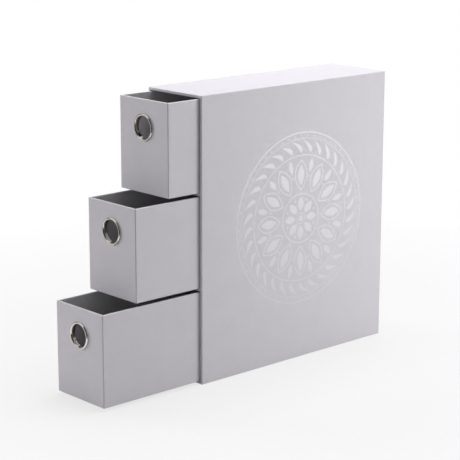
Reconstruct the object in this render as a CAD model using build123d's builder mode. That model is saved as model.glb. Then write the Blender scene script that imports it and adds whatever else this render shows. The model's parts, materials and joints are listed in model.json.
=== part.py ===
from build123d import *
import os

# Storage case for trading cards: a tall narrow slipcase of wrapped greyboard,
# open at the front, with three drawers one above another. All lengths are in
# millimetres. The origin is the middle of the case's underside, +Z is up and
# the drawers open towards -Y.

# Room inside a drawer, for sleeved cards that stand on their short edge
card_width = 66.0
card_height = 91.0
card_side_room = 3.1
card_top_room = 5.0
drawer_inside_length = 269.5

# Greyboard and paper
drawer_board = 2.1
case_board = 2.6
shelf_board = 2.6
wrap_paper = 0.2
lining_paper = 0.2
sheet_paper = 0.2

# Air around a closed drawer
side_clearance = 0.9
floor_clearance = 0.1
top_clearance = 0.85
back_clearance = 1.0

# How far each drawer stands out of the case
bottom_drawer_out = 129.2
middle_drawer_out = 85.4
top_drawer_out = 41.7

# Board edges under the paper: upright corners are rounder than level ones
upright_radius = 1.0
level_radius = 0.8

# Paper edges: the fold into the case's mouth, the lip inside a drawer's rim,
# and the borders that show around the sheets glued on the back and the base
mouth_fold = 12.0
rim_lip = 1.2
back_border = 3.0
base_border = 3.0

# Metal eyelet that lines the finger hole
finger_hole_radius = 12.0
eyelet_drop = 29.5
eyelet_wall = 0.5
eyelet_clearance = 0.2
flange_reach = 3.0
flange_rise = 1.8
washer_reach = 3.0
washer_thickness = 0.6
bead_reach = 1.6
bead_height = 0.9

# Sizes that follow
drawer_wall = wrap_paper + drawer_board + lining_paper
drawer_inside_width = card_width + 2 * card_side_room
drawer_inside_height = card_height + card_top_room
drawer_width = drawer_inside_width + 2 * drawer_wall
drawer_height = drawer_inside_height + drawer_wall
drawer_length = drawer_inside_length + 2 * drawer_wall

case_wall = wrap_paper + case_board + lining_paper
shelf_wall = lining_paper + shelf_board + lining_paper
bay_width = drawer_width + 2 * side_clearance
bay_height = drawer_height + floor_clearance + top_clearance
bay_pitch = bay_height + shelf_wall
drawer_openings = {
    "bottom": bottom_drawer_out,
    "middle": middle_drawer_out,
    "top": top_drawer_out,
}
bay_count = len(drawer_openings)
case_width = bay_width + 2 * case_wall
case_height = bay_count * bay_pitch - shelf_wall + 2 * case_wall
case_top = sheet_paper + case_height
case_length = drawer_length + back_clearance + case_wall
case_front = -case_length / 2
case_back = case_length / 2

# The boards' own room: between the paper on their outer and inner faces
lined_width = bay_width + 2 * lining_paper
bay_back = case_back - case_wall
shelf_length = bay_back + lining_paper - (case_front + wrap_paper)

core_height = case_height - 2 * wrap_paper
core_length = case_length - 2 * wrap_paper

barrel_radius = finger_hole_radius + eyelet_wall
eyelet_hole_radius = barrel_radius + eyelet_clearance
flange_radius = finger_hole_radius + flange_reach
bead_radius = finger_hole_radius + bead_reach
washer_radius = finger_hole_radius + washer_reach


def bay_floor(index):
    """Height of the lined floor of a bay, counted from the bottom."""
    return sheet_paper + case_wall + index * bay_pitch


def rounded_block(base, width, length, height, skin):
    """Block on a base plane, its edges rounded as boards under a skin of paper."""
    with BuildPart() as block:
        with BuildSketch(base) as outline:
            Rectangle(width, length)
            fillet(outline.vertices(), upright_radius + skin)
        extrude(amount=height)
        rims = block.faces().filter_by(Axis.Z).edges()
        fillet(rims, level_radius + skin)
    return block.part


def keep(piece, name):
    """Label a finished piece and write it to a file of its own."""
    piece.part.label = name
    export_step(piece.part, f"parts/{name}.step")


os.makedirs("parts", exist_ok=True)

# The case's outside, and the room that its boards fill
block_plane = Plane.XY.offset(sheet_paper)
core_plane = block_plane.offset(wrap_paper)
case_block = rounded_block(block_plane, case_width, case_length, case_height, wrap_paper)
case_core = rounded_block(
    core_plane, case_width - 2 * wrap_paper, core_length, core_height, 0
)

# Side walls, the full height of the case
for side, name in ((-1, "case_left_wall"), (1, "case_right_wall")):
    with BuildPart() as case_side_wall:
        with BuildSketch(core_plane):
            with Locations((side * (lined_width + case_board) / 2, 0)):
                Rectangle(case_board, core_length)
        extrude(amount=core_height)
        add(case_core, mode=Mode.INTERSECT)
    keep(case_side_wall, name)

# Top and bottom boards, between the side walls
for height, name in (
    (0, "case_bottom_board"),
    (core_height - case_board, "case_top_board"),
):
    with BuildPart() as case_level_board:
        with BuildSketch(core_plane.offset(height)):
            Rectangle(lined_width, core_length)
        extrude(amount=case_board)
        add(case_core, mode=Mode.INTERSECT)
    keep(case_level_board, name)

# Back board, set inside the four walls
with BuildPart() as case_back_board:
    with BuildSketch(core_plane.offset(case_board)):
        with Locations((0, bay_back + lining_paper + case_board / 2)):
            Rectangle(lined_width, case_board)
    extrude(amount=core_height - 2 * case_board)
    add(case_core, mode=Mode.INTERSECT)
keep(case_back_board, "case_back_board")

# Shelves between the bays, and the paper folded over their front edges
for index, name in ((1, "lower_shelf"), (2, "upper_shelf")):
    shelf_top = bay_floor(index)
    with BuildPart() as shelf:
        with BuildSketch(Plane.XY.offset(shelf_top - lining_paper)):
            with Locations((0, case_front + wrap_paper + shelf_length / 2)):
                Rectangle(lined_width, shelf_length)
        extrude(amount=-shelf_board)
    keep(shelf, name)

    with BuildPart() as shelf_edge_paper:
        with BuildSketch(Plane.XY.offset(shelf_top)):
            with Locations((0, case_front + mouth_fold / 2)):
                Rectangle(bay_width, mouth_fold)
        extrude(amount=-shelf_wall)
        add(shelf.part, mode=Mode.SUBTRACT)
    keep(shelf_edge_paper, f"{name}_edge_paper")

# Paper wrapped round the whole case and its rims, folded into the mouth
with BuildPart() as case_wrap:
    add(case_block)
    add(case_core, mode=Mode.SUBTRACT)
    with BuildSketch(Plane.XZ.offset(-case_front)):
        with Locations((0, sheet_paper + case_height / 2)):
            Rectangle(bay_width, case_height - 2 * case_wall)
    extrude(amount=-wrap_paper, mode=Mode.SUBTRACT)
    for index in range(bay_count):
        with BuildSketch(Plane.XZ.offset(-case_front - wrap_paper)):
            with Locations((0, bay_floor(index) + bay_height / 2)):
                Rectangle(lined_width, bay_height + 2 * lining_paper)
                Rectangle(bay_width, bay_height + 2 * lining_paper, mode=Mode.SUBTRACT)
        extrude(amount=wrap_paper - mouth_fold)
    for height in (bay_floor(0) - lining_paper, case_top - case_wall):
        with BuildSketch(Plane.XY.offset(height)):
            with Locations((0, case_front + (wrap_paper + mouth_fold) / 2)):
                Rectangle(bay_width, mouth_fold - wrap_paper)
        extrude(amount=lining_paper)
keep(case_wrap, "case_wrap")

# Flat sheets glued over the wrap, under the case and on its back
with BuildPart() as case_base_sheet:
    with BuildSketch(Plane.XY):
        Rectangle(case_width - 2 * base_border, case_length - 2 * base_border)
    extrude(amount=sheet_paper)
keep(case_base_sheet, "case_base_sheet")

with BuildPart() as case_back_sheet:
    with BuildSketch(Plane.XZ.offset(-case_back)):
        with Locations((0, sheet_paper + case_height / 2)):
            Rectangle(case_width - 2 * back_border, case_height - 2 * back_border)
    extrude(amount=-sheet_paper)
keep(case_back_sheet, "case_back_sheet")

# Grey lining of each bay: a sleeve with a back, behind the folded paper
for index, name in enumerate(drawer_openings):
    with BuildPart() as bay_lining:
        with BuildSketch(Plane.XZ.offset(-case_front - mouth_fold)):
            with Locations((0, bay_floor(index) + bay_height / 2)):
                Rectangle(lined_width, bay_height + 2 * lining_paper)
        extrude(amount=case_front + mouth_fold - bay_back - lining_paper)
        with BuildSketch(Plane.XZ.offset(-case_front - mouth_fold)):
            with Locations((0, bay_floor(index) + bay_height / 2)):
                Rectangle(bay_width, bay_height)
        extrude(amount=case_front + mouth_fold - bay_back, mode=Mode.SUBTRACT)
    keep(bay_lining, f"{name}_bay_lining")


def build_drawer(name, index, out):
    """Build and write every piece of one drawer.

    Args:
        name: which drawer it is, for the pieces' names.
        index: its bay, counted from the bottom.
        out: how far its front stands out of the case's front.
    """
    base = bay_floor(index) + floor_clearance
    front = case_front - out
    middle = front + drawer_length / 2
    tray_width = drawer_width - 2 * wrap_paper
    tray_length = drawer_length - 2 * wrap_paper
    tray_height = drawer_height - 2 * wrap_paper
    tray_plane = Plane((0, middle, base + wrap_paper))
    rim_plane = Plane((0, middle, base + drawer_height))
    floor_plane = tray_plane.offset(drawer_board)
    hole_plane = Plane(
        origin=(0, front, base + drawer_height - eyelet_drop),
        x_dir=(1, 0, 0),
        z_dir=(0, 1, 0),
    )
    drawer_block = rounded_block(
        Plane((0, middle, base)), drawer_width, drawer_length, drawer_height, wrap_paper
    )
    drawer_tray = rounded_block(tray_plane, tray_width, tray_length, tray_height, 0)

    # Front board, with the finger hole
    with BuildPart() as front_board:
        with BuildSketch(tray_plane):
            with Locations((0, (drawer_board - tray_length) / 2)):
                Rectangle(tray_width, drawer_board)
        extrude(amount=tray_height)
        add(drawer_tray, mode=Mode.INTERSECT)
        with BuildSketch(hole_plane):
            Circle(eyelet_hole_radius)
        extrude(amount=drawer_wall, mode=Mode.SUBTRACT)
    keep(front_board, f"{name}_drawer_front_board")

    with BuildPart() as back_board:
        with BuildSketch(tray_plane):
            with Locations((0, (tray_length - drawer_board) / 2)):
                Rectangle(tray_width, drawer_board)
        extrude(amount=tray_height)
        add(drawer_tray, mode=Mode.INTERSECT)
    keep(back_board, f"{name}_drawer_back_board")

    # Side walls, between the front and back boards
    for side, side_name in ((-1, "left"), (1, "right")):
        with BuildPart() as side_wall:
            with BuildSketch(tray_plane):
                with Locations((side * (tray_width - drawer_board) / 2, 0)):
                    Rectangle(drawer_board, tray_length - 2 * drawer_board)
            extrude(amount=tray_height)
            add(drawer_tray, mode=Mode.INTERSECT)
        keep(side_wall, f"{name}_drawer_{side_name}_wall")

    # Floor, set inside the four walls
    with BuildPart() as base_board:
        with BuildSketch(tray_plane):
            Rectangle(tray_width - 2 * drawer_board, tray_length - 2 * drawer_board)
        extrude(amount=drawer_board)
    keep(base_board, f"{name}_drawer_base_board")

    # Light paper outside, over the rim and a little way down inside
    with BuildPart() as wrap:
        add(drawer_block)
        add(drawer_tray, mode=Mode.SUBTRACT)
        with BuildSketch(rim_plane):
            Rectangle(drawer_inside_width, drawer_inside_length)
        extrude(amount=-wrap_paper, mode=Mode.SUBTRACT)
        with BuildSketch(rim_plane.offset(-wrap_paper)):
            Rectangle(
                drawer_inside_width + 2 * lining_paper,
                drawer_inside_length + 2 * lining_paper,
            )
            Rectangle(drawer_inside_width, drawer_inside_length, mode=Mode.SUBTRACT)
        extrude(amount=-rim_lip)
        with BuildSketch(hole_plane):
            Circle(eyelet_hole_radius)
        extrude(amount=wrap_paper, mode=Mode.SUBTRACT)
    keep(wrap, f"{name}_drawer_wrap")

    # Grey lining: a tray of paper on the walls and the floor
    lining_height = tray_height - drawer_board - rim_lip
    with BuildPart() as lining:
        with BuildSketch(floor_plane):
            Rectangle(
                drawer_inside_width + 2 * lining_paper,
                drawer_inside_length + 2 * lining_paper,
            )
        extrude(amount=lining_height)
        with BuildSketch(floor_plane.offset(lining_paper)):
            Rectangle(drawer_inside_width, drawer_inside_length)
        extrude(amount=lining_height, mode=Mode.SUBTRACT)
        with BuildSketch(hole_plane):
            Circle(eyelet_hole_radius)
        extrude(amount=drawer_wall, mode=Mode.SUBTRACT)
    keep(lining, f"{name}_drawer_lining")

    # Eyelet of curled sheet: a domed flange, a barrel through the front and
    # a bead rolled over the washer. In its section, x runs into the drawer and
    # y away from the hole's axis.
    washer_back = drawer_wall + washer_thickness
    flange_middle = finger_hole_radius + flange_reach / 2
    bead_middle = finger_hole_radius + bead_reach / 2
    section_plane = Plane(origin=hole_plane.origin, x_dir=(0, 1, 0), z_dir=(1, 0, 0))
    with BuildPart() as eyelet:
        with BuildSketch(section_plane):
            with BuildLine():
                ThreePointArc(
                    (0, flange_radius),
                    (-flange_rise, flange_middle),
                    (0, finger_hole_radius),
                )
                Line((0, finger_hole_radius), (washer_back, finger_hole_radius))
                ThreePointArc(
                    (washer_back, finger_hole_radius),
                    (washer_back + bead_height, bead_middle),
                    (washer_back, bead_radius),
                )
                Line((washer_back, bead_radius), (washer_back, bead_radius - eyelet_wall))
                ThreePointArc(
                    (washer_back, bead_radius - eyelet_wall),
                    (washer_back + bead_height - eyelet_wall, bead_middle),
                    (washer_back, barrel_radius),
                )
                Line((washer_back, barrel_radius), (0, barrel_radius))
                ThreePointArc(
                    (0, barrel_radius),
                    (eyelet_wall - flange_rise, flange_middle),
                    (0, flange_radius - eyelet_wall),
                )
                Line((0, flange_radius - eyelet_wall), (0, flange_radius))
            make_face()
        revolve(axis=Axis(hole_plane.origin, (0, 1, 0)))
    keep(eyelet, f"{name}_drawer_eyelet")

    with BuildPart() as washer:
        with BuildSketch(hole_plane.offset(drawer_wall)):
            Circle(washer_radius)
            Circle(eyelet_hole_radius, mode=Mode.SUBTRACT)
        extrude(amount=washer_thickness)
    keep(washer, f"{name}_drawer_washer")


for index, (name, out) in enumerate(drawer_openings.items()):
    build_drawer(name, index, out)
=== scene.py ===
"""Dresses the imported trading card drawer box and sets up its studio.

The papers, the metal eyelets and the ornament printed on the side panel are built here as
meshes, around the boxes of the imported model's own nodes. The boards stay as packed and get
their finish. Lengths are in metres. The origin is the middle of the case's underside, +Z is
up and the drawers open towards -Y.
"""

import json
import logging
import math
from dataclasses import dataclass
from enum import Enum
from typing import Iterable, Optional, Sequence, Union

import bmesh
import bpy
from mathutils import Matrix, Vector


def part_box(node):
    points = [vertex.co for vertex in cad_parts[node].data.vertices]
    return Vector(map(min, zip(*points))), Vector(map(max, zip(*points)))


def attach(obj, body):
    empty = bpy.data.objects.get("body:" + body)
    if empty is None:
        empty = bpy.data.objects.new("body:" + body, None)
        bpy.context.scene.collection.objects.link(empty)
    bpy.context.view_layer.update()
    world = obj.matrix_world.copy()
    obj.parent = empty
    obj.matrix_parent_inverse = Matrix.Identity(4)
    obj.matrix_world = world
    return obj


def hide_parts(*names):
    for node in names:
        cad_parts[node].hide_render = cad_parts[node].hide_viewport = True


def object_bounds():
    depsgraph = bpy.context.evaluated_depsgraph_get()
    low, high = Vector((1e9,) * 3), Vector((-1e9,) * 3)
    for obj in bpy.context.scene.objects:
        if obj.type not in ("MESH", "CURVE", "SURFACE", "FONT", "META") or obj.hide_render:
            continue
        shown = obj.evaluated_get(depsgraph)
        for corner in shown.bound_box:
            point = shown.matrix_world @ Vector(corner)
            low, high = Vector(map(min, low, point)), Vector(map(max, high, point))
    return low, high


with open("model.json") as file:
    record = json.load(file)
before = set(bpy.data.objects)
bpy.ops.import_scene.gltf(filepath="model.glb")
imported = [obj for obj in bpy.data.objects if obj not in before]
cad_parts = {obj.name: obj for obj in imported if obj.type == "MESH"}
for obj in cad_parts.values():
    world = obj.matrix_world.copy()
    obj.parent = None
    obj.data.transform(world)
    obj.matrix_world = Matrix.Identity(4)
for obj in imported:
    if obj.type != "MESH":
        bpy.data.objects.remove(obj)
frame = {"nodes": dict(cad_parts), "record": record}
CAD_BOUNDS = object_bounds()
MM = 0.001
WHITE = (1.0, 1.0, 1.0)

Colour = tuple[float, float, float]
Flat = tuple[float, float]
Point = Sequence[float]
Loop = list[bmesh.types.BMVert]
Piece = bpy.types.Object
Material = bpy.types.Material
World = bpy.types.World
Socket = bpy.types.NodeSocket
Value = Union[Socket, float, tuple]
Inputs = dict[Union[str, int], Value]

log = logging.getLogger("drawer_box")


class Slot(Enum):
    """The record's material slots."""

    GREYBOARD = "greyboard"
    SILVER = "silver_grey_paper"
    LINING = "lining_paper"
    NICKEL = "nickel"


class Bay(Enum):
    """The case's three bays, each with its drawer, from the lowest up."""

    BOTTOM = "bottom"
    MIDDLE = "middle"
    TOP = "top"


class Facing(Enum):
    """Which way a sheet's own z looks, as the directions of its own x, y and z."""

    UP = ((1, 0, 0), (0, 1, 0), (0, 0, 1))
    FRONT = ((1, 0, 0), (0, 0, 1), (0, -1, 0))
    RIGHT = ((0, 1, 0), (0, 0, 1), (1, 0, 0))
    BACK = ((-1, 0, 0), (0, 0, 1), (0, 1, 0))

    def placed_at(self, origin: Point) -> Matrix:
        """Return the matrix that puts a sheet's own frame at an origin in the model's."""
        axes = Matrix([Vector(axis) for axis in self.value]).transposed()
        return Matrix.Translation(Vector(origin)) @ axes.to_4x4()


@dataclass(frozen=True)
class Box:
    """The room between two corners."""

    low: Vector
    high: Vector

    @classmethod
    def of(cls, node: str) -> "Box":
        """Return the box of a CAD node."""
        return cls(*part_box(node))

    @property
    def size(self) -> Vector:
        """The box's three lengths."""
        return self.high - self.low

    @property
    def centre(self) -> Vector:
        """The box's middle."""
        return (self.low + self.high) / 2

    @property
    def foot(self) -> Vector:
        """The middle of the box's underside."""
        return Vector((self.centre.x, self.centre.y, self.low.z))


@dataclass(frozen=True)
class PaperGauge:
    """Sizes that every folded sheet shares.

    Attributes:
        thickness: one sheet's thickness.
        upright_radius: outer radius where a sheet turns round an upright corner.
        level_radius: outer radius where it turns round a level edge.
        fold_radius: radius where it turns over a rim.
        crease_radius: radius in an inside corner.
        cut_radius: how far a cut edge is rounded.
        chords: faces across a quarter turn.
        cut_chords: faces across a quarter turn of a cut edge.
    """

    thickness: float = 0.2 * MM
    upright_radius: float = 1.2 * MM
    level_radius: float = 1.0 * MM
    fold_radius: float = 0.5 * MM
    crease_radius: float = 0.4 * MM
    cut_radius: float = 0.05 * MM
    chords: int = 7
    cut_chords: int = 2


PAPER = PaperGauge()


def arc(
    middle: Flat, radius: float, start: float, swing: float = 90, chords: int = PAPER.chords
) -> list[Flat]:
    """Return an arc's points; angles are in degrees, and a swing below 0 is clockwise."""
    angles = (math.radians(start + swing * step / chords) for step in range(chords + 1))
    return [(middle[0] + radius * math.cos(a), middle[1] + radius * math.sin(a)) for a in angles]


def ring(radius: float, chords: int, start: float = 0.0) -> list[Flat]:
    """Return points evenly spaced round the origin, anticlockwise from an angle in degrees."""
    return arc((0, 0), radius, start, 360, chords)[:-1]


def rounded_rectangle(half_width: float, half_length: float, radius: float) -> list[Flat]:
    """Return the outline of a rectangle with round corners, anticlockwise.

    It starts beside the corner of +x and -y, so that its closing chord is the -y side.

    Args:
        half_width: half its extent in x.
        half_length: half its extent in y.
        radius: radius of the corners.

    Returns:
        The outline's points about the middle.
    """
    points = []
    for side_x, side_y, start in ((1, -1, -90), (1, 1, 0), (-1, 1, 90), (-1, -1, 180)):
        middle = (side_x * (half_width - radius), side_y * (half_length - radius))
        points += arc(middle, radius, start)
    return points


class MeshMaker:
    """Collects the loops and faces of one closed piece and turns them into an object."""

    HARD_ANGLE = math.radians(40)

    def __init__(self, placing: Matrix) -> None:
        """Start an empty mesh, whose points the placing takes to the model's frame."""
        self.mesh = bmesh.new()
        self.placing = placing

    def loop(self, points: Iterable[Point]) -> Loop:
        """Add one vertex for each point and return them."""
        return [self.mesh.verts.new(self.placing @ Vector(point)) for point in points]

    def bridge(self, first: Loop, second: Loop, closed: bool = True, gap: int = -1) -> None:
        """Join two loops of equal length with a band of quads.

        Args:
            first: one loop.
            second: the loop beside it.
            closed: whether the last points join the first ones too.
            gap: the index of a chord that is left open, or -1.
        """
        count = len(first)
        for here in range(count if closed else count - 1):
            if here == gap:
                continue
            there = (here + 1) % count
            self.mesh.faces.new((first[here], first[there], second[there], second[here]))

    def chain(self, loops: Sequence[Loop], closed: bool = True) -> None:
        """Join each loop to the next one."""
        for here, there in zip(loops, loops[1:]):
            self.bridge(here, there, closed)

    def cap(self, loop: Loop) -> None:
        """Close a loop with one flat face."""
        self.mesh.faces.new(loop)

    def pierce(self, corners: Loop, rim: Loop) -> None:
        """Fill the ground between a four-cornered outline and a hole in it.

        Args:
            corners: the outline's four corners.
            rim: the hole's points, a multiple of four, which start at the corner that the
                outline starts at and go round the same way.
        """
        share = len(rim) // 4
        for side in range(4):
            part = [rim[(side * share + step) % len(rim)] for step in range(share + 1)]
            self.mesh.faces.new([corners[side], corners[(side + 1) % 4], *reversed(part)])

    def finish(self, name: str) -> Piece:
        """Turn the faces outwards, mark the hard edges and make the object.

        Args:
            name: the piece's name.

        Returns:
            The new object, in the scene.
        """
        bmesh.ops.recalc_face_normals(self.mesh, faces=self.mesh.faces)
        for face in self.mesh.faces:
            face.smooth = True
        for edge in self.mesh.edges:
            edge.smooth = edge.calc_face_angle(0.0) < self.HARD_ANGLE
        data = bpy.data.meshes.new(name)
        self.mesh.to_mesh(data)
        self.mesh.free()
        piece = bpy.data.objects.new(name, data)
        bpy.context.scene.collection.objects.link(piece)
        piece.modifiers.new("flat_faces", "WEIGHTED_NORMAL").keep_sharp = True
        return piece


@dataclass(frozen=True)
class FingerHole:
    """A round hole through the -y side of a folded sheet.

    Attributes:
        radius: the hole's radius.
        height: height of its middle, in the sheet's own frame.
        chords: how many chords it has, a multiple of four.
    """

    radius: float
    height: float
    chords: int = 72

    def loops(self, outer: float, inner: float) -> list[list[Point]]:
        """Return the hole's loops on the outer and the inner face, from their lower left on."""
        points = ring(self.radius, self.chords, start=225)
        return [[(x, depth, self.height + z) for x, z in points] for depth in (outer, inner)]


@dataclass(frozen=True)
class Mouth:
    """A rectangular opening through the -y side, whose edges are folded inwards.

    Attributes:
        half_width: half the opening's width.
        low: height of its lower edge, in the sheet's own frame.
        high: height of its upper edge.
        fold: how far the fold reaches in, from the outer face.
    """

    half_width: float
    low: float
    high: float
    fold: float

    def loops(self, outer: float, inner: float) -> list[list[Point]]:
        """Return the opening's loops.

        Args:
            outer: y of the sheet's outer face.
            inner: y of its inner face.

        Returns:
            The loops round the fold, each from its lower left on.
        """
        radius, sheet = PAPER.fold_radius, inner - outer
        section = arc((radius, outer + radius), radius, -90, -90)
        section += [(0, outer + self.fold), (sheet, outer + self.fold), (sheet, inner)]
        return [self._loop(grow, depth) for grow, depth in section]

    def _loop(self, grow: float, depth: float) -> list[Point]:
        """Return the opening's outline, grown all round, at a depth."""
        side, low, high = self.half_width + grow, self.low - grow, self.high + grow
        return [(-side, depth, low), (side, depth, low), (side, depth, high), (-side, depth, high)]


Opening = Union[FingerHole, Mouth]


@dataclass(frozen=True)
class Skin:
    """One capped surface of a folded sheet, as loops in plan.

    Attributes:
        stations: each loop's inset from the widest outline, and its height.
        pierced: the stations after which the sheet's opening cuts the -y side.
    """

    stations: tuple[Flat, ...]
    pierced: tuple[int, ...] = ()


@dataclass(frozen=True)
class FoldedSheet:
    """A sheet folded round a block or into a tray, as a closed skin.

    Attributes:
        width: the widest outline's extent in its own x.
        length: its extent in its own y.
        radius: corner radius of the widest outline.
        skins: the surfaces that close it, the outer one first.
        opening: the hole through its -y side, if it has one.
    """

    width: float
    length: float
    radius: float
    skins: tuple[Skin, ...]
    opening: Optional[Opening] = None

    def build(self, name: str, placing: Matrix) -> Piece:
        """Make the sheet.

        Args:
            name: the piece's name.
            placing: takes the sheet's own frame to the model's.

        Returns:
            The new object.
        """
        maker = MeshMaker(placing)
        cuts: list[tuple[float, Loop]] = []
        for skin in self.skins:
            loops = [self._loop(maker, *station) for station in skin.stations]
            maker.cap(loops[0])
            maker.cap(loops[-1])
            for index, (here, there) in enumerate(zip(loops, loops[1:])):
                cut = index in skin.pierced
                maker.bridge(here, there, gap=len(here) - 1 if cut else -1)
                if cut:
                    rising = skin.stations[index + 1][1] > skin.stations[index][1]
                    low, high = (here, there) if rising else (there, here)
                    depth = skin.stations[index][0] - self.length / 2
                    cuts.append((depth, [low[-1], low[0], high[0], high[-1]]))
        if self.opening:
            (outer, outer_corners), (inner, inner_corners) = cuts
            rims = [maker.loop(points) for points in self.opening.loops(outer, inner)]
            maker.pierce(outer_corners, rims[0])
            maker.pierce(inner_corners, rims[-1])
            maker.chain(rims)
        return maker.finish(name)

    def _loop(self, maker: MeshMaker, inset: float, height: float) -> Loop:
        """Add one loop of the sheet.

        Args:
            maker: the mesh it goes into.
            inset: how far it lies inside the widest outline.
            height: its height.

        Returns:
            The loop's vertices.
        """
        radius = max(self.radius - inset, PAPER.crease_radius)
        outline = rounded_rectangle(self.width / 2 - inset, self.length / 2 - inset, radius)
        return maker.loop((x, y, height) for x, y in outline)


def tray_wrap(height: float, lip_face: float, lip_back: float, lip_depth: float) -> Skin:
    """Return the skin of a sheet wrapped round a tray and turned over its rim.

    Args:
        height: the wrapped tray's height.
        lip_face: inset of the turned-in lip's inner face.
        lip_back: inset of the lip's face on the board.
        lip_depth: how far the lip reaches down from the rim.

    Returns:
        The skin, from the underside over the rim and back inside the sheet.
    """
    sheet, edge, fold = PAPER.thickness, PAPER.level_radius, PAPER.fold_radius
    under = arc((edge, edge), edge, -90, -90)
    over = arc((edge, height - edge), edge, 180, -90)
    into = arc((lip_face - fold, height - fold), fold, 90, -90)
    lip = [(lip_face, height - lip_depth), (lip_back, height - lip_depth), (lip_back, height - sheet)]
    back_over = arc((edge, height - edge), edge - sheet, 90)
    back_under = arc((edge, edge), edge - sheet, 180)
    stations = (*under, *over, *into, *lip, *back_over, *back_under)
    return Skin(stations, (len(under) - 1, len(stations) - len(back_under) - 1))


def block_wrap(height: float) -> tuple[Skin, Skin]:
    """Return the skins of a sheet wrapped all round a block.

    Args:
        height: the block's height.

    Returns:
        The outer skin and the inner one.
    """
    edge = PAPER.level_radius
    skins = []
    for radius in (edge, edge - PAPER.thickness):
        under = arc((edge, edge), radius, -90, -90)
        over = arc((edge, height - edge), radius, 180, -90)
        skins.append(Skin((*under, *over), (len(under) - 1,)))
    return skins[0], skins[1]


def tray_lining(height: float, pierced: bool) -> Skin:
    """Return the skin of a sheet that lines a tray.

    Args:
        height: the lining's height.
        pierced: whether its front has a hole.

    Returns:
        The skin, from its outer face over the rim to its inner face.
    """
    sheet, crease, cut, few = PAPER.thickness, PAPER.crease_radius, PAPER.cut_radius, PAPER.cut_chords
    out = arc((cut, height - cut), cut, 180, -90, few)
    back_in = arc((sheet - cut, height - cut), cut, 90, -90, few)
    floor = arc((sheet + crease, sheet + crease), crease, 180)
    stations = ((0.0, 0.0), *out, *back_in, *floor)
    return Skin(stations, (0, len(stations) - len(floor) - 1) if pierced else ())


def flat_sheet(width: float, length: float) -> FoldedSheet:
    """Return a flat sheet with round corners and softened edges.

    Args:
        width: its extent in its own x.
        length: its extent in its own y.

    Returns:
        The sheet.
    """
    cut, sheet, few = PAPER.cut_radius, PAPER.thickness, PAPER.cut_chords
    stations = (*arc((cut, cut), cut, -90, -90, few), *arc((cut, sheet - cut), cut, 180, -90, few))
    return FoldedSheet(width, length, PAPER.upright_radius, (Skin(stations),))


def turned(name: str, section: Sequence[Flat], axis_point: Vector, chords: int = 96) -> Piece:
    """Turn a closed section about an axis along +Y.

    Args:
        name: the piece's name.
        section: its points, as distance along the axis and distance from it.
        axis_point: the point on the axis that the first distance counts from.
        chords: how many chords go round.

    Returns:
        The new object.
    """
    maker = MeshMaker(Matrix.Translation(axis_point))
    loops = [maker.loop((x, along, z) for x, z in ring(radius, chords)) for along, radius in section]
    maker.chain(loops + loops[:1])
    return maker.finish(name)


class NodeGraph:
    """The node tree of a new material or world.

    Nodes are added with their inputs in one call. An input given as a socket is linked, and
    any other value is set on the input itself.
    """

    def __init__(self, owner: Union[Material, World]) -> None:
        """Start an empty tree.

        Args:
            owner: the material or world.
        """
        self.owner = owner
        owner.use_nodes = True
        self.tree = owner.node_tree
        self.tree.nodes.clear()

    def add(self, kind: str, inputs: Inputs, **settings: object) -> bpy.types.Node:
        """Add a node.

        Args:
            kind: the node's type.
            inputs: its inputs by name or number.
            settings: its other properties.

        Returns:
            The new node.
        """
        node = self.tree.nodes.new(kind)
        for key, setting in settings.items():
            setattr(node, key, setting)
        for key, value in inputs.items():
            if isinstance(value, Socket):
                self.tree.links.new(value, node.inputs[key])
            else:
                node.inputs[key].default_value = value
        return node

    def place(self) -> Socket:
        """Return the point being shaded, in the piece's own frame."""
        return self.add("ShaderNodeTexCoord", {}).outputs["Object"]

    def stretch(self, place: Value, scale: Point, turn: float = 0.0) -> Socket:
        """Scale a place by axis, after a turn about y by some degrees."""
        inputs = {"Vector": place, "Scale": scale, "Rotation": (0.0, math.radians(turn), 0.0)}
        return self.add("ShaderNodeMapping", inputs).outputs[0]

    def noise(self, place: Value, grain: float, detail: float = 2.0) -> Socket:
        """Return soft noise whose features are about one grain across."""
        inputs = {"Vector": place, "Scale": 1 / grain, "Detail": detail}
        return self.add("ShaderNodeTexNoise", inputs).outputs[0]

    def span(self, value: Value, low: float, high: float, to_low: float, to_high: float) -> Socket:
        """Map a value from one span to another, clamped."""
        inputs = {0: value, 1: low, 2: high, 3: to_low, 4: to_high}
        return self.add("ShaderNodeMapRange", inputs).outputs[0]

    def sums(self, kind: str, first: Value, second: Value) -> Socket:
        """Return the result of a Math node on two values."""
        return self.add("ShaderNodeMath", {0: first, 1: second}, operation=kind).outputs[0]

    def mix(self, share: Value, first: Value, second: Value, kind: str = "MIX") -> Socket:
        """Mix two colours, in one of Blender's kinds of blending."""
        inputs = {0: share, 6: first, 7: second}
        return self.add("ShaderNodeMix", inputs, data_type="RGBA", blend_type=kind).outputs[2]

    def bump(self, height: Value, depth: float, under: Optional[Value] = None) -> Socket:
        """Add a relief.

        Args:
            height: its height, from 0 to 1.
            depth: its depth.
            under: the normal that it lies on, if that isn't the surface's own.

        Returns:
            The relief's normal.
        """
        inputs: Inputs = {"Height": height, "Distance": depth, "Strength": 1.0}
        if under is not None:
            inputs["Normal"] = under
        return self.add("ShaderNodeBump", inputs).outputs[0]

    def surface(self, inputs: Inputs) -> Material:
        """End a material in one principled surface.

        Args:
            inputs: the surface's inputs by name.

        Returns:
            The material.
        """
        shader = self.add("ShaderNodeBsdfPrincipled", inputs)
        self.add("ShaderNodeOutputMaterial", {"Surface": shader.outputs[0]})
        return self.owner


def toned(colour: Colour, by: float) -> tuple[float, float, float, float]:
    """Return a colour made lighter or darker by a share, with its alpha."""
    return (colour[0] * (1 + by), colour[1] * (1 + by), colour[2] * (1 + by), 1.0)


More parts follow.
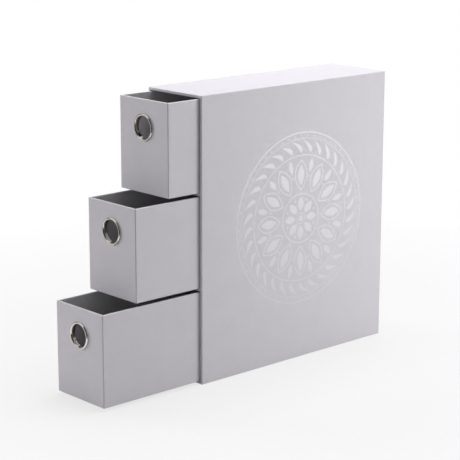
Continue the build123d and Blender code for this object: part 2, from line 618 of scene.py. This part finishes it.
@dataclass(frozen=True)
class PaperFinish:
    """Covering paper: pressed fibres in a coloured stock, a little shiny from its calendering.

    Attributes:
        name: the material's name.
        colour: the stock's colour.
        tone: how far the fibres stray from it, as a share.
        cloud: how far the stock's own clouds stray from it.
        roughness: how matte it is.
        gloss_spread: how far that varies.
        relief: depth of the fibres.
        pearl: share of pearly pigment, which reflects as metal does.
        fibre: a fibre's width.
        specular: strength of the surface reflection.
        cloud_span: size of the stock's clouds.
        swell: how far the sheet swells with them.
        strand_turns: the directions that the fibres lie in, in degrees.
    """

    name: str
    colour: Colour
    tone: float
    cloud: float
    roughness: float
    gloss_spread: float
    relief: float
    pearl: float = 0.0
    fibre: float = 0.22 * MM
    specular: float = 0.5
    cloud_span: float = 22 * MM
    swell: float = 0.05 * MM
    strand_turns: tuple[float, ...] = (12.0, -31.0, 74.0)

    def material(self) -> Material:
        """Build the paper's material.

        Returns:
            The material.
        """
        graph = NodeGraph(bpy.data.materials.new(self.name))
        place = graph.place()
        reach = 2 * self.fibre
        drift = graph.span(graph.noise(place, 9 * self.fibre, 1.0), 0.0, 1.0, -reach, reach)
        wander = graph.add("ShaderNodeVectorMath", {0: place, 1: drift}, operation="ADD")
        strands = [
            graph.noise(graph.stretch(wander.outputs[0], (1.0, 1.0, 0.09), turn), self.fibre, 1.0)
            for turn in self.strand_turns
        ]
        crossed = graph.sums("MAXIMUM", graph.sums("MAXIMUM", strands[0], strands[1]), strands[2])
        fibres = graph.span(crossed, 0.46, 0.80, 0.0, 1.0)
        grain = graph.noise(place, 1.6 * self.fibre, 3.0)
        clouds = graph.noise(place, self.cloud_span, 3.0)
        tooth = graph.sums("ADD", graph.sums("MULTIPLY", fibres, 0.6), graph.sums("MULTIPLY", grain, 0.4))
        patches = graph.span(clouds, 0.3, 0.7, 0.0, 1.0)
        stock = graph.mix(patches, toned(self.colour, -self.cloud), toned(self.colour, self.cloud))
        fleck = graph.mix(tooth, toned(WHITE, -self.tone), toned(WHITE, self.tone))
        low, high = self.roughness - self.gloss_spread, self.roughness + self.gloss_spread
        swell = graph.bump(clouds, self.swell)
        return graph.surface({
            "Base Color": graph.mix(1.0, stock, fleck, "MULTIPLY"),
            "Roughness": graph.span(tooth, 0.2, 0.8, high, low),
            "Metallic": self.pearl,
            "Specular IOR Level": self.specular,
            "Normal": graph.bump(tooth, self.relief, swell),
        })


@dataclass(frozen=True)
class GreyboardFinish:
    """Recycled board: grey-brown pulp with dark and pale flecks.

    Attributes:
        pulp: the pulp's colour.
        fleck: size of its flecks.
        relief: depth of its rough face.
    """

    pulp: Colour = (0.42, 0.40, 0.37)
    fleck: float = 0.5 * MM
    relief: float = 0.03 * MM

    def material(self) -> Material:
        """Build the board's material.

        Returns:
            The material.
        """
        graph = NodeGraph(bpy.data.materials.new("greyboard"))
        place = graph.place()
        pulp = graph.noise(place, 3 * self.fleck, 4.0)
        dark = graph.span(graph.noise(place, self.fleck, 1.0), 0.62, 0.72, 0.0, 1.0)
        fibres = graph.noise(graph.stretch(place, (1.3, 0.4, 1.0)), self.fleck, 1.0)
        pale = graph.span(fibres, 0.64, 0.74, 0.0, 1.0)
        ground = graph.mix(pulp, toned(self.pulp, -0.12), toned(self.pulp, 0.12))
        speckled = graph.mix(dark, ground, toned(self.pulp, -0.55))
        return graph.surface({
            "Base Color": graph.mix(pale, speckled, toned(self.pulp, 0.45)),
            "Roughness": graph.span(pulp, 0.3, 0.7, 0.95, 0.85),
            "Specular IOR Level": 0.3,
            "Normal": graph.bump(pulp, self.relief),
        })


@dataclass(frozen=True)
class NickelFinish:
    """Bright nickel plate on a pressed eyelet, with fine rubbing marks.

    Attributes:
        colour: the plate's reflection.
        roughness: how blurred it is.
        rub: width of a rubbing mark.
    """

    colour: Colour = (0.72, 0.69, 0.63)
    roughness: float = 0.13
    rub: float = 0.12 * MM

    def material(self) -> Material:
        """Build the plate's material.

        Returns:
            The material.
        """
        graph = NodeGraph(bpy.data.materials.new("nickel"))
        place = graph.place()
        stain = graph.noise(place, 5 * MM, 3.0)
        rubs = graph.noise(graph.stretch(place, (1.0, 6.0, 0.15), 25.0), self.rub, 2.0)
        return graph.surface({
            "Base Color": graph.mix(stain, toned(self.colour, -0.08), toned(self.colour, 0.06)),
            "Metallic": 1.0,
            "Roughness": graph.span(rubs, 0.3, 0.75, self.roughness - 0.04, self.roughness + 0.1),
            "Normal": graph.bump(rubs, 0.001 * MM, graph.bump(stain, 0.02 * MM)),
        })


@dataclass(frozen=True)
class Finishes:
    """The materials of the whole object.

    Attributes:
        by_slot: each slot's material.
        ink: the ornament's.
    """

    by_slot: dict[Slot, Material]
    ink: Material

    @classmethod
    def made(cls) -> "Finishes":
        """Build every finish once.

        Returns:
            The finishes.
        """
        silver = PaperFinish(
            "silver_grey_paper", (0.603, 0.580, 0.625), tone=0.035, cloud=0.012,
            roughness=0.54, gloss_spread=0.05, relief=0.006 * MM,
        )
        ink = PaperFinish(
            "pearl_ink", (0.650, 0.626, 0.672), tone=0.025, cloud=0.010,
            roughness=0.44, gloss_spread=0.04, relief=0.004 * MM, pearl=0.1,
        )
        lining = PaperFinish(
            "lining_paper", (0.540, 0.535, 0.549), tone=0.08, cloud=0.03,
            roughness=0.72, gloss_spread=0.08, relief=0.012 * MM, specular=0.3,
        )
        finishes = {
            Slot.SILVER: silver, Slot.LINING: lining,
            Slot.GREYBOARD: GreyboardFinish(), Slot.NICKEL: NickelFinish(),
        }
        return cls({slot: finish.material() for slot, finish in finishes.items()}, ink.material())


def dress(piece: Piece, body: str, slot: Slot, material: Material, *nodes: str) -> None:
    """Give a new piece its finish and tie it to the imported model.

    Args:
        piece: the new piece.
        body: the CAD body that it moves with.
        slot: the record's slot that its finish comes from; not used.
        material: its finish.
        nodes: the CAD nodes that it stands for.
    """
    piece.data.materials.append(material)
    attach(piece, body)
    if nodes:
        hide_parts(*nodes)
    log.info("%s: %d faces, on %s", piece.name, len(piece.data.polygons), body)


@dataclass(frozen=True)
class Boards:
    """The greyboard under the paper, which stays as packed."""

    finishes: Finishes

    def dress(self) -> None:
        """Give every board node its finish."""
        for part in frame["record"]["subparts"]:
            if part["material_slot"] == Slot.GREYBOARD.value:
                board = frame["nodes"][part["node"]]
                for slot in board.material_slots:
                    slot.material = self.finishes.by_slot[Slot.GREYBOARD]
                log.info("%s: finished as greyboard", board.name)


@dataclass(frozen=True)
class Case:
    """The open-fronted case: its wrap, shelf edges, sheets and linings.

    Attributes:
        finishes: the materials.
        outside: the box of the whole wrapped case.
        ink: how far the wrap's sides stay within that box, for the ornament's ink.
    """

    finishes: Finishes
    outside: Box
    ink: float = 0.04 * MM

    def build(self) -> None:
        """Build and dress every piece of the case."""
        self._wrap()
        for shelf in ("lower_shelf", "upper_shelf"):
            self._shelf_edge(f"{shelf}_edge_paper")
        self._cover_sheet("back", Facing.BACK)
        self._cover_sheet("base", Facing.UP)
        for bay in Bay:
            self._bay_lining(f"{bay.value}_bay_lining")

    def _dress(self, piece: Piece, node: str, slot: Slot) -> None:
        """Tie a piece of the case to the node that it stands for."""
        dress(piece, "case", slot, self.finishes.by_slot[slot], node)

    def _wrap(self) -> None:
        """Build the paper round the case, folded into its mouth."""
        low_bay, high_bay = Box.of("bottom_bay_lining"), Box.of("top_bay_lining")
        mouth = Mouth(
            half_width=low_bay.size.x / 2 - PAPER.thickness,
            low=low_bay.low.z + PAPER.thickness - self.outside.low.z,
            high=high_bay.high.z - PAPER.thickness - self.outside.low.z,
            fold=low_bay.low.y - self.outside.low.y,
        )
        width, skins = self.outside.size.x - 2 * self.ink, block_wrap(self.outside.size.z)
        wrap = FoldedSheet(width, self.outside.size.y, PAPER.upright_radius, skins, mouth)
        piece = wrap.build("case_paper", Facing.UP.placed_at(self.outside.foot))
        self._dress(piece, "case_wrap", Slot.SILVER)

    def _shelf_edge(self, node: str) -> None:
        """Build the paper folded over a shelf's front edge.

        Args:
            node: the CAD node that it stands for.
        """
        room = Box.of(node)
        sheet, fold, deep, half = PAPER.thickness, PAPER.fold_radius, room.size.y, room.size.z / 2
        outer = [*arc((fold, fold - half), fold, -90, -90), *arc((fold, half - fold), fold, 180, -90)]
        inner = [(deep, half - sheet), (sheet, half - sheet), (sheet, sheet - half), (deep, sheet - half)]
        section = [(deep, -half), *outer, (deep, half), *inner]
        maker = MeshMaker(Matrix.Translation((0, room.low.y, room.centre.z)))
        ends = [maker.loop((x, y, z) for y, z in section) for x in (room.low.x, room.high.x)]
        maker.bridge(*ends)
        for end in ends:
            maker.cap(end)
        piece = maker.finish(node.replace("edge_paper", "front_fold"))
        self._dress(piece, node, Slot.SILVER)

    def _cover_sheet(self, side: str, facing: Facing) -> None:
        """Build the flat sheet on the back or under the base.

        Args:
            side: its side, as its node's name says it.
            facing: which way the sheet's own z looks.
        """
        room = Box.of(f"case_{side}_sheet")
        upright = facing is Facing.BACK
        origin = Vector((room.centre.x, room.low.y, room.centre.z)) if upright else room.foot
        sheet = flat_sheet(room.size.x, room.size.z if upright else room.size.y)
        piece = sheet.build(f"{side}_cover_sheet", facing.placed_at(origin))
        self._dress(piece, f"case_{side}_sheet", Slot.SILVER)

    def _bay_lining(self, node: str) -> None:
        """Build the lining of a bay, a sleeve that is open at the front.

        Args:
            node: the CAD node that it stands for.
        """
        room = Box.of(node)
        skin = tray_lining(room.size.y, pierced=False)
        lining = FoldedSheet(room.size.x, room.size.z, PAPER.level_radius, (skin,))
        placing = Facing.FRONT.placed_at((room.centre.x, room.high.y, room.centre.z))
        piece = lining.build(node.replace("lining", "sleeve"), placing)
        self._dress(piece, node, Slot.LINING)


@dataclass(frozen=True)
class Drawer:
    """One drawer: its wrap, lining, eyelet and washer.

    Attributes:
        finishes: the materials.
        bay: which bay it belongs to.
        hole_radius: radius of the hole through the papers and the board.
        bore_radius: radius of the eyelet's bore.
        eyelet_wall: thickness of its sheet.
        edge_radius: radius of the flange's edge.
        crest_radius: radius of the flange's crest.
        roll_depth: how far behind the front the flange's roll meets the barrel.
        bead_reach: how far its bead is rolled out over the washer.
        lip_step: how far the turned-in lip lies behind the lining's face.
        lip_depth: how far the lip reaches down from the rim.
        washer_edge: how far the washer's edges are rounded.
    """

    finishes: Finishes
    bay: Bay
    hole_radius: float = 12.7 * MM
    bore_radius: float = 12.0 * MM
    eyelet_wall: float = 0.5 * MM
    edge_radius: float = 14.6 * MM
    crest_radius: float = 13.4 * MM
    roll_depth: float = 0.3 * MM
    bead_reach: float = 1.6 * MM
    lip_step: float = 0.08 * MM
    lip_depth: float = 1.4 * MM
    washer_edge: float = 0.15 * MM

    @property
    def body(self) -> str:
        """The drawer's CAD body, which its nodes' names start with."""
        return f"{self.bay.value}_drawer"

    def build(self) -> None:
        """Build and dress every piece of the drawer."""
        self._wrap()
        self._lining()
        self._eyelet()
        self._washer()

    def _room(self, part: str) -> Box:
        """Return the box of one of the drawer's nodes."""
        return Box.of(f"{self.body}_{part}")

    def _dress(self, piece: Piece, part: str, slot: Slot) -> None:
        """Tie a piece of the drawer to the node that it stands for."""
        dress(piece, self.body, slot, self.finishes.by_slot[slot], f"{self.body}_{part}")

    def _hole(self, foot: float) -> FingerHole:
        """Return the finger hole in a sheet whose own frame starts at a height."""
        return FingerHole(self.hole_radius, self._room("eyelet").centre.z - foot)

    def _wrap(self) -> None:
        """Build the paper round the drawer, turned over its rim."""
        outside, lining = self._room("wrap"), self._room("lining")
        lip_back = lining.low.x - outside.low.x
        lip_face = lip_back + PAPER.thickness - self.lip_step
        skin = tray_wrap(outside.size.z, lip_face, lip_back, self.lip_depth)
        hole = self._hole(outside.low.z)
        wrap = FoldedSheet(outside.size.x, outside.size.y, PAPER.upright_radius, (skin,), hole)
        piece = wrap.build(f"{self.body}_paper", Facing.UP.placed_at(outside.foot))
        self._dress(piece, "wrap", Slot.SILVER)

    def _lining(self) -> None:
        """Build the paper inside the drawer."""
        room = self._room("lining")
        skin, hole = tray_lining(room.size.z, pierced=True), self._hole(room.low.z)
        lining = FoldedSheet(room.size.x, room.size.y, PAPER.level_radius, (skin,), hole)
        piece = lining.build(f"{self.body}_inner_paper", Facing.UP.placed_at(room.foot))
        self._dress(piece, "lining", Slot.LINING)

    def _eyelet(self) -> None:
        """Build the eyelet: a domed flange, a barrel and a bead rolled over the washer."""
        room, washer = self._room("eyelet"), self._room("washer")
        front = self._room("wrap").low.y
        axis = Vector((room.centre.x, front, room.centre.z))
        bore, wall, chords = self.bore_radius, self.eyelet_wall, 14
        rise = front - room.low.y
        washer_back = washer.high.y - front
        bead, bead_height = self.bead_reach / 2, room.high.y - washer.high.y
        section = self._flange(0.0, rise, chords)
        section += self._bead(washer_back, bore + bead, bead, bead_height, chords, 1)
        section += self._bead(washer_back, bore + bead, bead - wall, bead_height - wall, chords, -1)
        section += self._flange(wall, rise, chords)[::-1]
        piece = turned(f"{self.body}_pull_eyelet", section, axis)
        self._dress(piece, "eyelet", Slot.NICKEL)

    def _flange(self, inset: float, rise: float, chords: int) -> list[Flat]:
        """Return one face of the flange: a rise to the crest and a roll into the bore.

        Args:
            inset: how far the face lies inside the metal's outer one.
            rise: how far the crest stands out of the front.
            chords: how many chords each part has.

        Returns:
            The section's points, from the flange's edge to the barrel.
        """
        crest, roll, height = self.crest_radius, self.roll_depth, rise - inset
        out, into = self.edge_radius - crest - inset, crest - self.bore_radius - inset
        edge = [(-height * y, crest + out * x) for x, y in arc((0, 0), 1, 0, 90, chords)]
        inner = [(roll - (height + roll) * y, crest + into * x) for x, y in arc((0, 0), 1, 90, 90, chords)]
        return edge + inner[1:]

    @staticmethod
    def _bead(start: float, middle: float, reach: float, height: float, chords: int, way: int) -> list[Flat]:
        """Return one face of the rolled bead, outwards over its middle, or inwards if way is -1."""
        return [(start + height * y, middle - way * reach * x) for x, y in arc((0, 0), 1, 0, 180, chords)]

    def _washer(self) -> None:
        """Build the washer that the eyelet is rolled over."""
        room, edge = self._room("washer"), self.washer_edge
        back, outer, inner = room.size.y - edge, room.size.x / 2 - edge, self.hole_radius + edge
        corners = (((edge, outer), 180), ((back, outer), 90), ((back, inner), 0), ((edge, inner), -90))
        section = [point for middle, start in corners for point in arc(middle, edge, start, -90, chords=4)]
        foot = Vector((room.centre.x, room.low.y, room.centre.z))
        piece = turned(f"{self.body}_pull_washer", section, foot)
        self._dress(piece, "washer", Slot.NICKEL)


@dataclass(frozen=True)
class Motif:
    """One printed shape: a band between two rails in the panel's plane.

    Attributes:
        left: the points of one rail.
        right: the points of the other.
        closed: whether the band runs back to its start.
    """

    left: tuple[Flat, ...]
    right: tuple[Flat, ...]
    closed: bool


LEAF_TIP = 0.15 * MM
LEAF_FULLNESS = 0.85
OUTLINE_POINT = 1.6
DOT_END = 2.0


def leaf(
    inner: float, outer: float, half_width: float, angle: float, sweep: float = 0.0, chords: int = 18
) -> Motif:
    """Return a leaf that points away from the middle.

    Args:
        inner: distance of its base from the middle.
        outer: distance of its tip.
        half_width: half its greatest width.
        angle: the direction of its base, in degrees.
        sweep: how far its tip is turned round the middle, in degrees.
        chords: how many chords each side has.

    Returns:
        The leaf.
    """
    left, right = [], []
    for step in range(chords + 1):
        share = step / chords
        reach = inner + (outer - inner) * share
        swell = LEAF_TIP + half_width * math.sin(math.pi * share) ** LEAF_FULLNESS
        turn = math.radians(angle + sweep * share * share)
        along, across = Vector((math.cos(turn), math.sin(turn))), Vector((-math.sin(turn), math.cos(turn)))
        left.append(tuple(along * reach + across * swell))
        right.append(tuple(along * reach - across * swell))
    return Motif(tuple(left), tuple(right), closed=False)


def leaf_outline(inner: float, outer: float, half_width: float, line: float, angle: float) -> Motif:
    """Return the outline of a leaf.

    Args:
        inner: distance of its base from the middle.
        outer: distance of its tip.
        half_width: half its greatest width.
        line: the outline's own width.
        angle: its direction, in degrees.

    Returns:
        The outline.
    """
    whole, point = leaf(inner, outer, half_width, angle), OUTLINE_POINT * line
    heart = leaf(inner + point, outer - point, half_width - line, angle)
    return Motif(whole.left + whole.right[::-1], heart.left + heart.right[::-1], closed=True)


def hoop(radius: float, line: float, chords: int = 180) -> Motif:
    """Return a thin ring about the middle, given its radius and its own width."""
    return Motif(tuple(ring(radius + line / 2, chords)), tuple(ring(radius - line / 2, chords)), closed=True)


def dot(distance: float, radius: float, angle: float) -> Motif:
    """Return a round dot, as two half circles that end a little short of each other.

    Args:
        distance: how far its own middle lies from the ornament's.
        radius: its radius.
        angle: the direction that it lies in, in degrees.

    Returns:
        The dot.
    """
    turn = math.radians(angle)
    middle = (distance * math.cos(turn), distance * math.sin(turn))
    half, other = (arc(middle, radius, way * DOT_END, way * (180 - 2 * DOT_END), 10) for way in (1, -1))
    return Motif(tuple(half), tuple(other), closed=False)


@dataclass(frozen=True)
class SideOrnament:
    """The round ornament printed in pale ink on the case's right side.

    Attributes:
        finishes: the materials.
        face: x of the ink's outer face.
        ink: thickness of the ink.
        middle: the ornament's middle, as y and z.
        root: how far the ink reaches into the paper.
    """

    finishes: Finishes
    face: float
    ink: float
    middle: Flat = (6 * MM, 160 * MM)
    root: float = 0.02 * MM

    def build(self) -> None:
        """Build the ornament as one raised print."""
        placing = Facing.RIGHT.placed_at((self.face - self.ink, *self.middle))
        maker = MeshMaker(placing)
        for motif in self._motifs():
            self._print(maker, motif)
        dress(maker.finish("side_panel_ornament"), "case", Slot.SILVER, self.finishes.ink)

    def _print(self, maker: MeshMaker, motif: Motif) -> None:
        """Add a motif as a closed band of ink.

        Args:
            maker: the mesh it goes into.
            motif: its two rails.
        """
        top, root, left, right = self.ink, -self.root, motif.left, motif.right
        corners = ((left, top), (right, top), (right, root), (left, root))
        rails = [maker.loop((u, v, height) for u, v in rail) for rail, height in corners]
        maker.chain(rails + rails[:1], motif.closed)
        if not motif.closed:
            for end in (0, -1):
                maker.cap([rail[end] for rail in rails])

    def _motifs(self) -> list[Motif]:
        """Draw the ornament.

        Returns:
            Every motif, from the heart outwards.
        """
        motifs = [dot(0, 3.4 * MM, 0), hoop(6.2 * MM, 1.1 * MM)]
        for angle in range(0, 360, 45):
            motifs.append(leaf(8.5 * MM, 24 * MM, 4.2 * MM, angle))
            motifs.append(dot(21.5 * MM, 1.3 * MM, angle + 22.5))
        motifs.append(hoop(27.5 * MM, 1.3 * MM))
        for angle in range(0, 360, 30):
            motifs.append(leaf_outline(31 * MM, 66 * MM, 9.6 * MM, 1.3 * MM, angle))
            motifs.append(leaf(37 * MM, 60 * MM, 4.6 * MM, angle))
            motifs.append(leaf(52 * MM, 67.5 * MM, 3.1 * MM, angle + 15))
            motifs.append(dot(47.5 * MM, 1.2 * MM, angle + 15))
        motifs.append(hoop(70.5 * MM, 1.2 * MM))
        motifs += [leaf(73 * MM, 87 * MM, 3.1 * MM, 11.25 * index, sweep=9) for index in range(32)]
        motifs += [hoop(89 * MM, 0.8 * MM), hoop(95.5 * MM, 1.4 * MM)]
        motifs += [dot(92.1 * MM, 1.0 * MM, angle) for angle in range(0, 360, 6)]
        return motifs


@dataclass(frozen=True)
class SoftBox:
    """A studio lamp behind a diffusing screen.

    Attributes:
        name: the lamp's name.
        azimuth: where it stands, in degrees from the front towards the right.
        elevation: its height above the horizon, in degrees.
        distance: its distance from what it lights.
        size: the screen's width and height.
        glow: the brightness of its screen.
        in_reflections: whether glossy surfaces mirror it.
    """

    name: str
    azimuth: float
    elevation: float
    distance: float
    size: Flat
    glow: float
    in_reflections: bool = True

    def build(self, aim: Vector) -> None:
        """Hang the lamp.

        Args:
            aim: the point that it faces.
        """
        lamp = bpy.data.lights.new(self.name, "AREA")
        lamp.shape = "RECTANGLE"
        lamp.size, lamp.size_y = self.size
        lamp.energy = self.glow * math.pi * self.size[0] * self.size[1]
        holder = bpy.data.objects.new(self.name, lamp)
        outward = direction(self.azimuth, self.elevation)
        holder.location = aim + outward * self.distance
        holder.rotation_mode = "QUATERNION"
        holder.rotation_quaternion = (-outward).to_track_quat("-Z", "Y")
        holder.visible_camera = False
        holder.visible_glossy = self.in_reflections
        bpy.context.scene.collection.objects.link(holder)
        log.info("%s: lamp at %.1f, %.1f", self.name, self.azimuth, self.elevation)


def direction(azimuth: float, elevation: float) -> Vector:
    """Return the direction at an azimuth from the front and an elevation, in degrees."""
    a, e = math.radians(azimuth), math.radians(elevation)
    return Vector((math.sin(a) * math.cos(e), -math.cos(a) * math.cos(e), math.sin(e)))


@dataclass(frozen=True)
class DarkFlag:
    """A curved dark cloth, so that metal and round edges show a dark line.

    Only reflections show it: neither the camera nor the light on matte surfaces meets it.

    Attributes:
        name: the cloth's name.
        span: the azimuths that it stretches between, in degrees.
        profile: its bends, as distance from the origin and height.
        colour: its colour.
    """

    name: str
    span: Flat
    profile: tuple[Flat, ...]
    colour: Colour = (0.02, 0.02, 0.02)

    def build(self) -> None:
        """Hang the cloth."""
        maker = MeshMaker(Matrix.Identity(4))
        start, end = self.span
        levels = [
            maker.loop((x, y, height) for x, y in arc((0, 0), radius, start - 90, end - start, 24))
            for radius, height in self.profile
        ]
        maker.chain(levels, closed=False)
        cloth = maker.finish(self.name)
        graph = NodeGraph(bpy.data.materials.new(f"{self.name}_cloth"))
        nap = graph.noise(graph.place(), 2 * MM, 2.0)
        cloth.data.materials.append(graph.surface({
            "Base Color": graph.mix(nap, toned(self.colour, -0.3), toned(self.colour, 0.3)),
            "Roughness": 1.0, "Specular IOR Level": 0.0,
        }))
        cloth.visible_camera = cloth.visible_diffuse = cloth.visible_shadow = False


@dataclass(frozen=True)
class PortraitCamera:
    """The camera at the photograph's viewpoint.

    Attributes:
        azimuth: its direction from the object, in degrees from the front towards the right.
        elevation: its height above the horizon, in degrees.
        roll: its turn about its own axis, in degrees.
        distance: its distance from the aim.
        aim: the point in the middle of its view.
        lens: focal length, in millimetres.
        sensor: the sensor's width, in millimetres.
    """

    azimuth: float = 47.488
    elevation: float = 13.547
    roll: float = 0.111
    distance: float = 1.7462
    aim: Point = (0.0, -0.06042, 0.14962)
    lens: float = 124.87
    sensor: float = 36.0

    def build(self) -> None:
        """Set the camera up and make it the scene's."""
        lens = bpy.data.cameras.new("portrait")
        lens.lens, lens.sensor_width = self.lens, self.sensor
        lens.clip_start, lens.clip_end = 0.05, 100.0
        camera = bpy.data.objects.new("portrait", lens)
        back = direction(self.azimuth, self.elevation)
        right = Vector((0, 0, 1)).cross(back).normalized()
        level = Matrix((right, back.cross(right), back)).transposed()
        turn = Matrix.Rotation(math.radians(self.roll), 3, "Z")
        camera.rotation_mode = "QUATERNION"
        camera.rotation_quaternion = (level @ turn).to_quaternion()
        camera.location = Vector(self.aim) + back * self.distance
        bpy.context.scene.collection.objects.link(camera)
        bpy.context.scene.camera = camera
        log.info("camera: %.1f round, %.1f up", self.azimuth, self.elevation)


@dataclass(frozen=True)
class Studio:
    """The pale floor, the white surround, the lamps and the camera.

    Attributes:
        floor_colour: the floor's colour under the lamps.
        floor_radius: how far the floor reaches.
        floor_drop: how far it lies under the base.
        floor_whitening: how much of the floor near the object shows as plain white.
        white_reach: where the floor starts to get whiter, and where it is all white.
        ambient: brightness of the surround on matte surfaces.
        lamps: the lamps.
        flags: the dark cloths.
        camera: the camera.
    """

    floor_colour: Colour = (0.60, 0.60, 0.60)
    floor_radius: float = 8.0
    floor_drop: float = 0.1 * MM
    floor_whitening: float = 0.72
    white_reach: Flat = (0.25, 0.7)
    ambient: float = 0.22
    lamps: tuple[SoftBox, ...] = (
        SoftBox("top_box", 176, 76, 1.5, (1.1, 1.0), 7.9, in_reflections=False),
        SoftBox("left_box", -62, 5, 2.2, (1.0, 0.6), 18.6, in_reflections=False),
        SoftBox("right_box", 131, 4, 0.95, (0.45, 0.36), 7.1),
    )
    flags: tuple[DarkFlag, ...] = (
        DarkFlag("front_flag", (4, 112), ((0.5, MM), (1.4, MM), (1.4, 2.4), (0.7, 2.9))),
        DarkFlag("back_flag", (112, 205), ((1.2, 0.9), (0.9, 1.8), (0.5, 2.6))),
        DarkFlag("left_flag", (-105, -12), ((0.75, MM), (1.7, MM), (1.7, 1.1)), (0.34, 0.33, 0.31)),
    )
    camera: PortraitCamera = PortraitCamera()

    def build(self) -> None:
        """Set up everything around the object."""
        scene = bpy.context.scene
        scene.view_settings.view_transform = "Standard"
        self.camera.build()
        aim = sum(CAD_BOUNDS, Vector()) / 2
        for lamp in self.lamps:
            lamp.build(aim)
        for flag in self.flags:
            flag.build()
        self._floor()
        self._surround()

    def _floor(self) -> None:
        """Build the floor, a wide round sheet just under the base."""
        maker = MeshMaker(Matrix.Translation((0, 0, -self.floor_drop)))
        reaches = [share * self.floor_radius for share in (0.05, 0.3, 1)]
        rings = [maker.loop((x, y, 0) for x, y in ring(reach, 64)) for reach in reaches]
        maker.cap(rings[0])
        maker.chain(rings)
        floor = maker.finish("floor")
        floor.data.materials.append(self._floor_material())

    def _floor_material(self) -> Material:
        """Build a matte pale paper that shows white to the camera except in the shadow.

        Returns:
            The material.
        """
        graph = NodeGraph(bpy.data.materials.new("floor_paper"))
        place = graph.place()
        grain = graph.noise(place, 1.5 * MM, 3.0)
        colour = graph.mix(grain, toned(self.floor_colour, -0.02), toned(self.floor_colour, 0.02))
        relief = graph.bump(grain, 0.02 * MM)
        matte = graph.add("ShaderNodeBsdfDiffuse", {"Color": colour, "Normal": relief})
        white = graph.add("ShaderNodeEmission", {"Strength": 1.0})
        reach = graph.add("ShaderNodeVectorMath", {0: place}, operation="LENGTH").outputs["Value"]
        whiter = graph.span(reach, *self.white_reach, self.floor_whitening, 1.0)
        share = graph.sums("MULTIPLY", whiter, self._seen(graph))
        both = graph.add("ShaderNodeMixShader", {0: share, 1: matte.outputs[0], 2: white.outputs[0]})
        graph.add("ShaderNodeOutputMaterial", {"Surface": both.outputs[0]})
        return graph.owner

    def _surround(self) -> None:
        """Build the world: white where it is seen, dimmer as light."""
        graph = NodeGraph(bpy.data.worlds.new("studio"))
        strength = graph.span(self._seen(graph), 0.0, 1.0, self.ambient, 1.0)
        white = graph.add("ShaderNodeBackground", {"Color": toned(WHITE, 0.0), "Strength": strength})
        graph.add("ShaderNodeOutputWorld", {"Surface": white.outputs[0]})
        bpy.context.scene.world = graph.owner

    @staticmethod
    def _seen(graph: NodeGraph) -> Socket:
        """Tell the rays from the camera, or off a glossy or clear surface, from the others.

        Args:
            graph: the graph that asks.

        Returns:
            1 for those rays, else 0.
        """
        path = graph.add("ShaderNodeLightPath", {}).outputs
        seen = graph.sums("MAXIMUM", path["Is Camera Ray"], path["Is Glossy Ray"])
        return graph.sums("MAXIMUM", seen, path["Is Transmission Ray"])


def main() -> None:
    """Build the studio and dress the object, piece by piece."""
    logging.basicConfig(level=logging.INFO, format="%(message)s")
    Studio().build()
    finishes = Finishes.made()
    Boards(finishes).dress()
    case = Case(finishes, Box.of("case_wrap"))
    case.build()
    for bay in Bay:
        Drawer(finishes, bay).build()
    SideOrnament(finishes, case.outside.high.x, case.ink).build()


if __name__ == "__main__":
    main()
